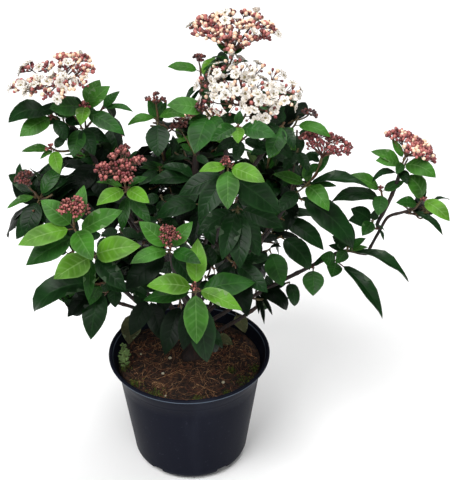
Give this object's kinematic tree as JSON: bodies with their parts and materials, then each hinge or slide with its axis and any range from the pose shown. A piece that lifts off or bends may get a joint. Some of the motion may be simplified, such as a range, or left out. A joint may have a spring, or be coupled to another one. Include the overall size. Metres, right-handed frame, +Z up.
{
  "type": "potted laurustinus shrub",
  "caption": "Evergreen flowering shrub with paired leathery leaves and flat flower heads, on a short branching trunk in a round tapered nursery pot of compost.",
  "frame": {"origin": "centre of the pot's flat underside, where it stands", "axes": "+Z up; the side of the plant that the picture shows faces -Y"},
  "size_m": [0.428, 0.3078, 0.4906],
  "materials": {
    "pot": "near-black moulded plastic, satin, with faint scuffs and a lighter line along the rim",
    "compost": "brown fibrous peat compost with moss and a few pale grains",
    "bark": "thin brown bark, reddish on young shoots",
    "foliage": "leathery leaves, bright green when young and dark glossy green when old",
    "blossom": "flat heads of small white flowers, cream and pink buds and red-brown bud clusters"
  },
  "bodies": {
    "root": {"pot": "pot", "compost": "compost", "trunk": "bark", "bough_left_low": "bark", "bough_left_tip": "bark", "bough_left_top": "bark", "bough_left_inner": "bark", "bough_left_front": "bark", "bough_left_centre": "bark", "bough_mid_front": "bark", "bough_mid_left": "bark", "bough_front": "bark", "bough_centre": "bark", "bough_upper_centre": "bark", "bough_right_upper": "bark", "bough_right_mid": "bark", "bough_right_inner": "bark", "bough_right_arm": "bark", "bough_right_low": "bark", "bough_right_rise": "bark", "bough_right_end": "bark", "bough_back_left": "bark", "bough_back_centre": "bark", "bough_back_right": "bark", "bough_back_low_left": "bark", "bough_back_low_right": "bark", "foliage_left_top": "foliage", "foliage_left_tip": "foliage", "foliage_left_front": "foliage", "foliage_left_low": "foliage", "foliage_left_inner": "foliage", "foliage_left_centre": "foliage", "foliage_mid_left": "foliage", "foliage_core": "foliage", "foliage_top": "foliage", "foliage_upper_centre": "foliage", "foliage_centre": "foliage", "foliage_mid_front": "foliage", "foliage_front": "foliage", "foliage_right_upper": "foliage", "foliage_right_mid": "foliage", "foliage_right_inner": "foliage", "foliage_right_low": "foliage", "foliage_right_drape": "foliage", "foliage_right_arm": "foliage", "foliage_right_fork": "foliage", "foliage_right_tip": "foliage", "foliage_right_end": "foliage", "foliage_back_left": "foliage", "foliage_back_centre": "foliage", "foliage_back_right": "foliage", "foliage_back_low_left": "foliage", "foliage_back_low_right": "foliage", "flower_head_top": "blossom", "flower_head_white": "blossom", "flower_head_left": "blossom", "flower_head_right": "blossom", "flower_head_right_mid": "blossom", "flower_head_left_centre": "blossom", "flower_head_back": "blossom"}
  },
  "joints": []
}
